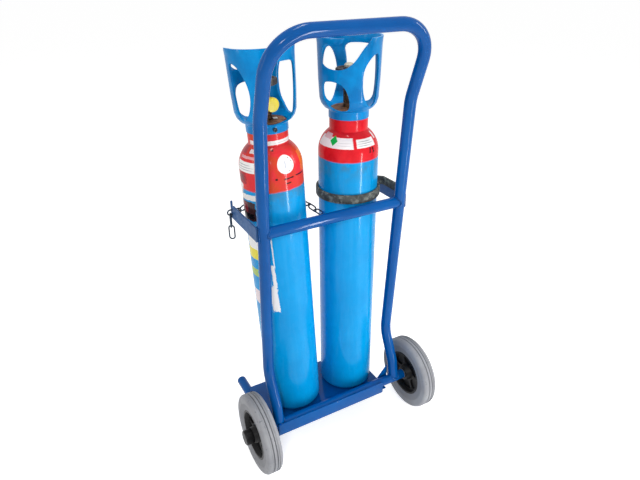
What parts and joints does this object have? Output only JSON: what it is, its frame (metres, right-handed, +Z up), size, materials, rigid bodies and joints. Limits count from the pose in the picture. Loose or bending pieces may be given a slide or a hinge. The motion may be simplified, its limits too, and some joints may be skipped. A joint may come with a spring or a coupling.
{
  "type": "gas cylinder trolley",
  "caption": "Two-wheeled tube hand trolley with a loop handle, carrying two gas cylinders held by a chain and a band, each with a valve in a tulip-shaped guard.",
  "frame": {"origin": "on the floor, under the middle of the whole trolley's box; the axle is 72.8 mm behind it", "axes": "+Z up, +Y forward (away from the person who pushes), +X to that person's right"},
  "size_m": [0.538, 0.3456, 1.0408],
  "materials": {
    "frame_paint": "glossy blue enamel on steel tube and plate",
    "cylinder_blue": "light blue paint on a steel gas cylinder",
    "ring_red": "red paint on steel",
    "guard_blue": "mid blue moulded guard with rubbed edges",
    "grey_rubber": "dusty light grey solid rubber",
    "black_plastic": "black moulded plastic",
    "black_rubber": "dull black rubber",
    "steel": "bright zinc-plated steel",
    "dark_steel": "dark oxidised steel",
    "brass": "dull, stained brass",
    "handwheel_brown": "dark brown worn plastic",
    "cap_yellow": "yellow plastic cap",
    "cap_cream": "cream plastic"
  },
  "bodies": {
    "frame": {"frame_loop": "frame_paint", "crossbar": "frame_paint", "left_arm": "frame_paint", "right_arm": "frame_paint", "chain_lug": "frame_paint", "axle_housing": "frame_paint", "axle": "steel", "left_spacer_washer": "steel", "right_spacer_washer": "steel", "left_axle_clip": "steel", "right_axle_clip": "steel", "tray": "frame_paint", "left_foot_tube": "frame_paint", "right_foot_tube": "frame_paint", "left_foot_plug": "black_plastic", "right_foot_plug": "black_plastic", "left_leg": "frame_paint", "right_leg": "frame_paint", "left_rubber_foot": "black_rubber", "right_rubber_foot": "black_rubber", "right_gusset": "frame_paint", "retaining_chain": "dark_steel", "retaining_band": "black_rubber"},
    "left_wheel": {"left_tyre": "grey_rubber", "left_rim": "black_plastic", "left_bush": "steel", "left_hub_cap": "black_plastic"},
    "left_gas_cylinder": {"left_cylinder": "cylinder_blue", "left_neck_ring": "ring_red", "left_guard": "guard_blue", "left_guard_screw": "dark_steel", "left_valve_body": "brass"},
    "left_outlet_cap": {"left_outlet_cap": "cap_yellow"},
    "left_valve_wheel": {"left_spindle": "steel", "left_handwheel": "handwheel_brown", "left_handwheel_cap": "cap_cream"},
    "right_wheel": {"right_tyre": "grey_rubber", "right_rim": "black_plastic", "right_bush": "steel", "right_hub_cap": "black_plastic"},
    "right_gas_cylinder": {"right_cylinder": "cylinder_blue", "right_neck_ring": "ring_red", "right_guard": "guard_blue", "right_guard_screw": "dark_steel", "right_valve_body": "brass"},
    "right_outlet_cap": {"right_outlet_cap": "cap_yellow"},
    "right_valve_wheel": {"right_spindle": "steel", "right_handwheel": "handwheel_brown", "right_handwheel_cap": "cap_cream"},
    "tail_link_1": {"tail_link_1": "dark_steel"},
    "tail_link_2": {"tail_link_2": "dark_steel"}
  },
  "joints": [
    {"name": "left_wheel_spin", "type": "hinge", "parent": "frame", "child": "left_wheel", "pos_m": [-0.2287, -0.07284, 0.1], "axis": [1, 0, 0], "continuous": true},
    {"name": "right_wheel_spin", "type": "hinge", "parent": "frame", "child": "right_wheel", "pos_m": [0.2287, -0.07284, 0.1], "axis": [1, 0, 0], "continuous": true},
    {"name": "left_gas_cylinder_lift_out", "type": "slide", "parent": "frame", "child": "left_gas_cylinder", "axis": [-0.0392, 0.0198, 0.999], "range_m": [0, 0.15]},
    {"name": "left_valve_turn", "type": "hinge", "parent": "left_gas_cylinder", "child": "left_valve_wheel", "pos_m": [-0.11533, 0.04857, 0.92354], "axis": [-0.0392, 0.0198, 0.999], "range_deg": [0, 900]},
    {"name": "left_outlet_cap_off", "type": "slide", "parent": "left_gas_cylinder", "child": "left_outlet_cap", "axis": [0.0867, -0.996, 0.0231], "range_m": [0, 0.009]},
    {"name": "right_gas_cylinder_lift_out", "type": "slide", "parent": "frame", "child": "right_gas_cylinder", "axis": [0, 0, 1], "range_m": [0, 0.15]},
    {"name": "right_valve_turn", "type": "hinge", "parent": "right_gas_cylinder", "child": "right_valve_wheel", "pos_m": [0.0822, 0.03184, 0.9219], "axis": [0, 0, 1], "range_deg": [0, 900]},
    {"name": "right_outlet_cap_off", "type": "slide", "parent": "right_gas_cylinder", "child": "right_outlet_cap", "axis": [-0.1736, -0.9848, 0], "range_m": [0, 0.009]},
    {"name": "tail_link_1_swing", "type": "hinge", "parent": "frame", "child": "tail_link_1", "pos_m": [-0.19753, 0.08551, 0.62025], "axis": [1, 0, 0], "range_deg": [-25, 25]},
    {"name": "tail_link_2_swing", "type": "hinge", "parent": "tail_link_1", "child": "tail_link_2", "pos_m": [-0.19753, 0.08551, 0.59025], "axis": [0.4848, 0.8746, 0], "range_deg": [-5, 30]}
  ]
}
